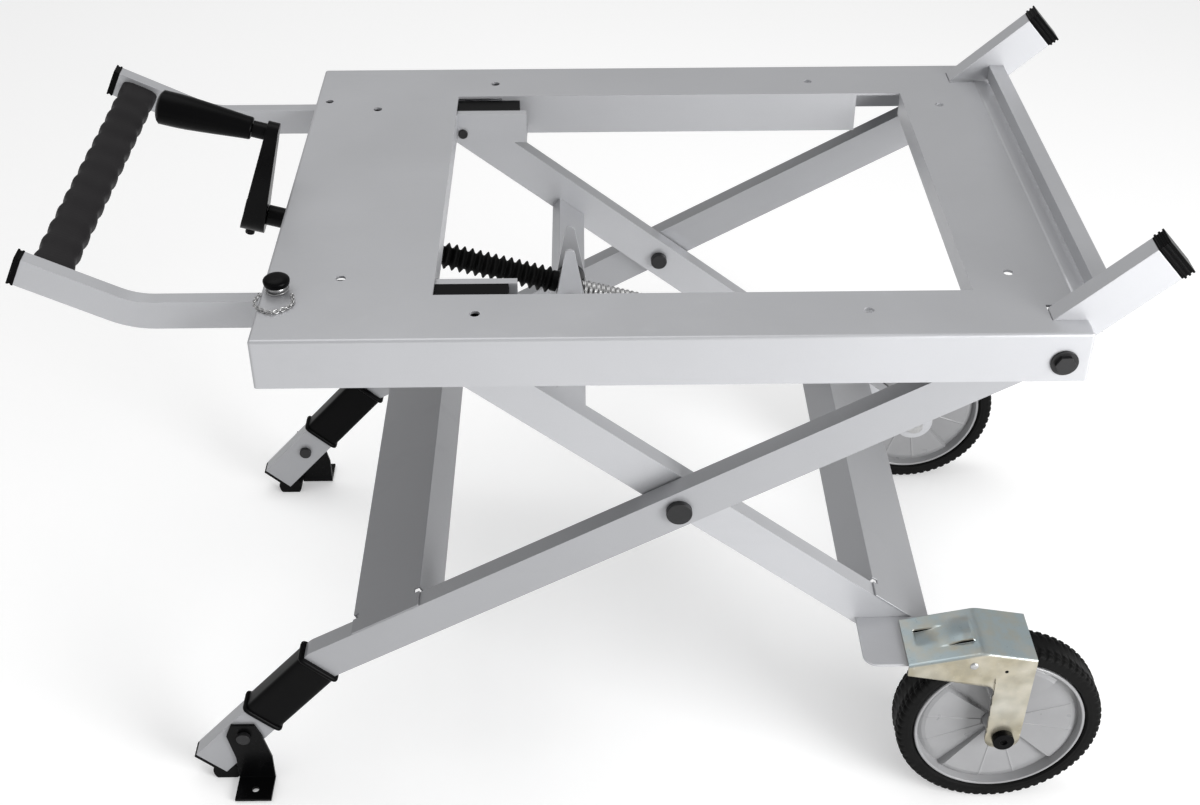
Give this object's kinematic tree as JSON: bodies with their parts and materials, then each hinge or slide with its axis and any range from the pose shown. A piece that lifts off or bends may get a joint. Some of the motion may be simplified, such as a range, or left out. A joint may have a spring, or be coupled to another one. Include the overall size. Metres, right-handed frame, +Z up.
{
  "type": "rolling saw stand",
  "caption": "Rolling scissor stand with a folded sheet table, crank-driven lift screw, two wheels, two feet and a pull handle.",
  "frame": {"origin": "on the floor, in the middle of the stand's length and width", "axes": "+Z up, +X toward the wheels, +Y toward the far side of the table"},
  "size_m": [1.0071, 0.608, 0.6591],
  "materials": {
    "paint": "satin silver-grey powder coat",
    "zinc_plate": "yellowish zinc plate",
    "bright_steel": "bright zinc-plated steel",
    "dark_steel": "black oxide",
    "black_plastic": "black moulded plastic",
    "nylon": "natural nylon",
    "grey_plastic": "light grey moulded plastic",
    "rubber": "black rubber",
    "grip_rubber": "dark grey moulded rubber",
    "tyre": "black tyre rubber"
  },
  "bodies": {
    "table": {"table_top": "paint", "rail_near": "paint", "rail_far": "paint", "guide_near": "paint", "guide_far": "paint", "guide_blocks_near": "black_plastic", "guide_blocks_far": "black_plastic", "guide_bolts": "dark_steel", "arm_near": "paint", "arm_far": "paint", "arm_caps": "black_plastic", "arm_cross_bar": "paint", "bearing_hanger": "bright_steel", "table_pivot_bolts": "bright_steel", "pin_chain": "bright_steel"},
    "outer_frame": {"outer_leg_near": "paint", "outer_leg_far": "paint", "outer_crossmember": "paint", "centre_bolts": "dark_steel", "foot_sleeve_near": "black_plastic", "foot_sleeve_far": "black_plastic", "foot_pad_near": "rubber", "foot_pad_far": "rubber", "foot_bolts": "bright_steel"},
    "foot_bracket_near": {"foot_bracket_near": "dark_steel"},
    "foot_bracket_far": {"foot_bracket_far": "dark_steel"},
    "inner_frame": {"inner_leg_near": "paint", "inner_leg_far": "paint", "inner_crossmember": "paint", "cross_tube": "paint", "clevis_ears": "paint", "slide_roller_near": "nylon", "slide_roller_far": "nylon", "fork_plate_near": "paint", "fork_plate_far": "paint", "wheel_cover_near": "zinc_plate", "wheel_cover_far": "zinc_plate", "axle_near": "bright_steel", "axle_far": "bright_steel", "nut_pins": "dark_steel"},
    "wheel_near": {"tyre_near": "tyre", "wheel_disc_near": "grey_plastic"},
    "wheel_far": {"tyre_far": "tyre", "wheel_disc_far": "grey_plastic"},
    "trunnion_nut": {"nut_block": "dark_steel"},
    "swivel": {"swivel_block": "dark_steel", "bellows": "rubber"},
    "screw": {"lift_screw": "bright_steel", "crank_arm": "dark_steel", "crank_hub_nut": "bright_steel"},
    "grip": {"crank_grip": "black_plastic"},
    "handle": {"handle_tube_near": "paint", "handle_tube_far": "paint", "handle_grip": "grip_rubber", "handle_caps": "black_plastic"},
    "lock_pin": {"lock_pin": "black_plastic"}
  },
  "joints": [
    {"name": "crank_turn", "type": "hinge", "parent": "swivel", "child": "screw", "pos_m": [-0.25551, 0, 0.512], "axis": [0.9625, 0, -0.2713], "range_deg": [-4200, 4200]},
    {"name": "table_lift", "type": "hinge", "parent": "table", "child": "outer_frame", "pos_m": [0.40099, 0, 0.5293], "axis": [0, -1, 0], "range_deg": [-10, 10], "deforming": ["bellows"]},
    {"name": "scissor_cross", "type": "hinge", "parent": "outer_frame", "child": "inner_frame", "pos_m": [0.08057, 0, 0.35242], "axis": [0, 1, 0], "range_deg": [-24.2, 24.2]},
    {"name": "nut_swing", "type": "hinge", "parent": "inner_frame", "child": "trunnion_nut", "pos_m": [-0.01826, 0, 0.44212], "axis": [0, 1, 0], "range_deg": [-10.64, 10.64]},
    {"name": "screw_tilt", "type": "hinge", "parent": "table", "child": "swivel", "pos_m": [-0.25551, 0, 0.512], "axis": [0, 1, 0], "range_deg": [-3.56, 3.56]},
    {"name": "bracket_swing_near", "type": "hinge", "parent": "outer_frame", "child": "foot_bracket_near", "pos_m": [-0.35479, -0.24685, 0.06461], "axis": [0, 1, 0], "range_deg": [-10, 10]},
    {"name": "bracket_swing_far", "type": "hinge", "parent": "outer_frame", "child": "foot_bracket_far", "pos_m": [-0.35479, 0.24685, 0.06461], "axis": [0, 1, 0], "range_deg": [-10, 10]},
    {"name": "wheel_near_spin", "type": "hinge", "parent": "inner_frame", "child": "wheel_near", "pos_m": [0.40215, -0.265, 0.1016], "axis": [0, 1, 0], "continuous": true},
    {"name": "wheel_far_spin", "type": "hinge", "parent": "inner_frame", "child": "wheel_far", "pos_m": [0.40215, 0.265, 0.1016], "axis": [0, 1, 0], "continuous": true},
    {"name": "grip_spin", "type": "hinge", "parent": "screw", "child": "grip", "pos_m": [-0.29901, 0, 0.61569], "axis": [0.9625, 0, -0.2713], "continuous": true},
    {"name": "handle_slide", "type": "slide", "parent": "table", "child": "handle", "axis": [-1, 0, 0], "range_m": [0, 0.04]},
    {"name": "lock_pin_pull", "type": "slide", "parent": "table", "child": "lock_pin", "axis": [0, 0, 1], "range_m": [0, 0.038]}
  ],
  "couplings": [
    {"joint": "table_lift", "follows": "crank_turn", "ratio": 0.002381},
    {"joint": "scissor_cross", "follows": "crank_turn", "ratio": 0.0057624},
    {"joint": "nut_swing", "follows": "crank_turn", "ratio": -0.0025338},
    {"joint": "screw_tilt", "follows": "crank_turn", "ratio": 0.00084762},
    {"joint": "bracket_swing_near", "follows": "crank_turn", "ratio": 0.002381},
    {"joint": "bracket_swing_far", "follows": "crank_turn", "ratio": 0.002381}
  ]
}
